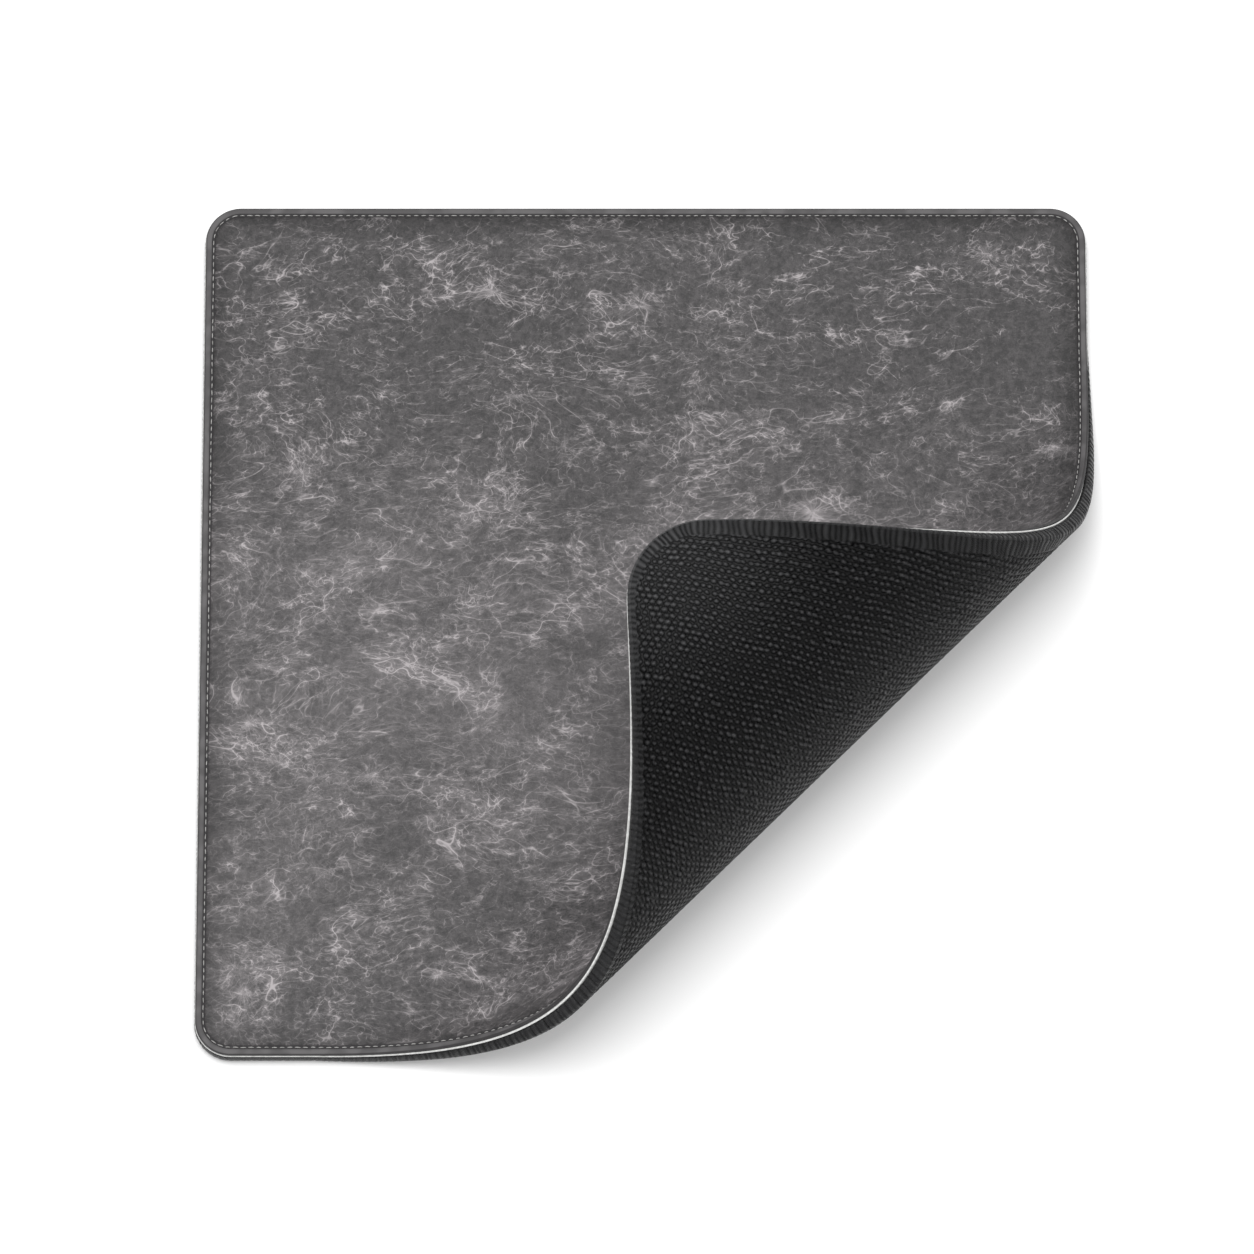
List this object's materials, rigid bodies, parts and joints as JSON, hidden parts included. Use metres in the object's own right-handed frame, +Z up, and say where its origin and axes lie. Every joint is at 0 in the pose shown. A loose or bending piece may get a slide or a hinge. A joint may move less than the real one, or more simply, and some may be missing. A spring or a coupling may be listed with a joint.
{
  "type": "flexible desk mat",
  "caption": "Thin flexible square desk mat with rounded corners, stitched marbled skin on a textured rubber base, one corner rolled back over the top.",
  "frame": {"origin": "middle of the flat mat, on the surface it lies on", "axes": "+Z up out of the printed face; +X to the right and +Y away, with the rolled corner at +X -Y"},
  "size_m": [0.2523, 0.2523, 0.0869],
  "materials": {
    "marbled_skin": "dark grey, printed with a fine stone-like marbling, soft satin sheen",
    "white_layer": "matt white cut edge",
    "black_rubber": "black foam rubber, covered in small knitted-looking nubs",
    "stitch_thread": "light grey sewing thread, matt"
  },
  "bodies": {
    "field": {"needle_thread_flat": "stitch_thread", "rubber_base_flat": "black_rubber", "top_skin_flat": "marbled_skin", "white_core_flat": "white_layer"},
    "strip_1": {"needle_thread_front_1": "stitch_thread", "needle_thread_right_1": "stitch_thread", "rubber_base_strip_1": "black_rubber", "top_skin_strip_1": "marbled_skin", "white_core_strip_1": "white_layer"},
    "strip_2": {"needle_thread_front_2": "stitch_thread", "needle_thread_right_2": "stitch_thread", "rubber_base_strip_2": "black_rubber", "top_skin_strip_2": "marbled_skin", "white_core_strip_2": "white_layer"},
    "strip_3": {"needle_thread_front_3": "stitch_thread", "needle_thread_right_3": "stitch_thread", "rubber_base_strip_3": "black_rubber", "top_skin_strip_3": "marbled_skin", "white_core_strip_3": "white_layer"},
    "strip_4": {"needle_thread_front_4": "stitch_thread", "needle_thread_right_4": "stitch_thread", "rubber_base_strip_4": "black_rubber", "top_skin_strip_4": "marbled_skin", "white_core_strip_4": "white_layer"},
    "strip_5": {"needle_thread_front_5": "stitch_thread", "needle_thread_right_5": "stitch_thread", "rubber_base_strip_5": "black_rubber", "top_skin_strip_5": "marbled_skin", "white_core_strip_5": "white_layer"},
    "strip_6": {"needle_thread_front_6": "stitch_thread", "needle_thread_right_6": "stitch_thread", "rubber_base_strip_6": "black_rubber", "top_skin_strip_6": "marbled_skin", "white_core_strip_6": "white_layer"},
    "strip_7": {"needle_thread_front_7": "stitch_thread", "needle_thread_right_7": "stitch_thread", "rubber_base_strip_7": "black_rubber", "top_skin_strip_7": "marbled_skin", "white_core_strip_7": "white_layer"},
    "strip_8": {"needle_thread_front_8": "stitch_thread", "needle_thread_right_8": "stitch_thread", "rubber_base_strip_8": "black_rubber", "top_skin_strip_8": "marbled_skin", "white_core_strip_8": "white_layer"},
    "corner_tip": {"needle_thread_tip": "stitch_thread", "rubber_base_tip": "black_rubber", "top_skin_tip": "marbled_skin", "white_core_tip": "white_layer"}
  },
  "joints": [
    {"name": "corner_fold", "type": "hinge", "parent": "field", "child": "strip_1", "pos_m": [0.02321, -0.02571, 0.0066], "axis": [0.7158, 0.6983, 0], "range_deg": [0, 19.83]},
    {"name": "fold_2", "type": "hinge", "parent": "strip_1", "child": "strip_2", "pos_m": [0.03424, -0.03494, 0.01176], "axis": [0.7103, 0.7039, -0.0029], "range_deg": [0, 19.83]},
    {"name": "fold_3", "type": "hinge", "parent": "strip_2", "child": "strip_3", "pos_m": [0.04154, -0.04103, 0.01961], "axis": [0.7066, 0.7076, -0.0072], "range_deg": [0, 19.83]},
    {"name": "fold_4", "type": "hinge", "parent": "strip_3", "child": "strip_4", "pos_m": [0.04583, -0.04443, 0.02883], "axis": [0.7044, 0.7097, -0.0123], "range_deg": [0, 19.83]},
    {"name": "fold_5", "type": "hinge", "parent": "strip_4", "child": "strip_5", "pos_m": [0.04751, -0.04543, 0.03891], "axis": [0.7036, 0.7104, -0.0179], "range_deg": [0, 19.83]},
    {"name": "fold_6", "type": "hinge", "parent": "strip_5", "child": "strip_6", "pos_m": [0.04654, -0.04394, 0.0497], "axis": [0.7042, 0.7096, -0.0239], "range_deg": [0, 19.83]},
    {"name": "fold_7", "type": "hinge", "parent": "strip_6", "child": "strip_7", "pos_m": [0.04232, -0.03941, 0.06085], "axis": [0.7065, 0.7071, -0.03], "range_deg": [0, 19.83]},
    {"name": "fold_8", "type": "hinge", "parent": "strip_7", "child": "strip_8", "pos_m": [0.03376, -0.03098, 0.07137], "axis": [0.7111, 0.7022, -0.0358], "range_deg": [0, 19.83]},
    {"name": "fold_9", "type": "hinge", "parent": "strip_8", "child": "corner_tip", "pos_m": [0.01947, -0.01774, 0.079], "axis": [0.7185, 0.6944, -0.04], "range_deg": [0, 19.83]}
  ],
  "couplings": [
    {"joint": "fold_2", "follows": "corner_fold", "ratio": 1},
    {"joint": "fold_3", "follows": "corner_fold", "ratio": 1},
    {"joint": "fold_4", "follows": "corner_fold", "ratio": 1},
    {"joint": "fold_5", "follows": "corner_fold", "ratio": 1},
    {"joint": "fold_6", "follows": "corner_fold", "ratio": 1},
    {"joint": "fold_7", "follows": "corner_fold", "ratio": 1},
    {"joint": "fold_8", "follows": "corner_fold", "ratio": 1},
    {"joint": "fold_9", "follows": "corner_fold", "ratio": 1}
  ]
}
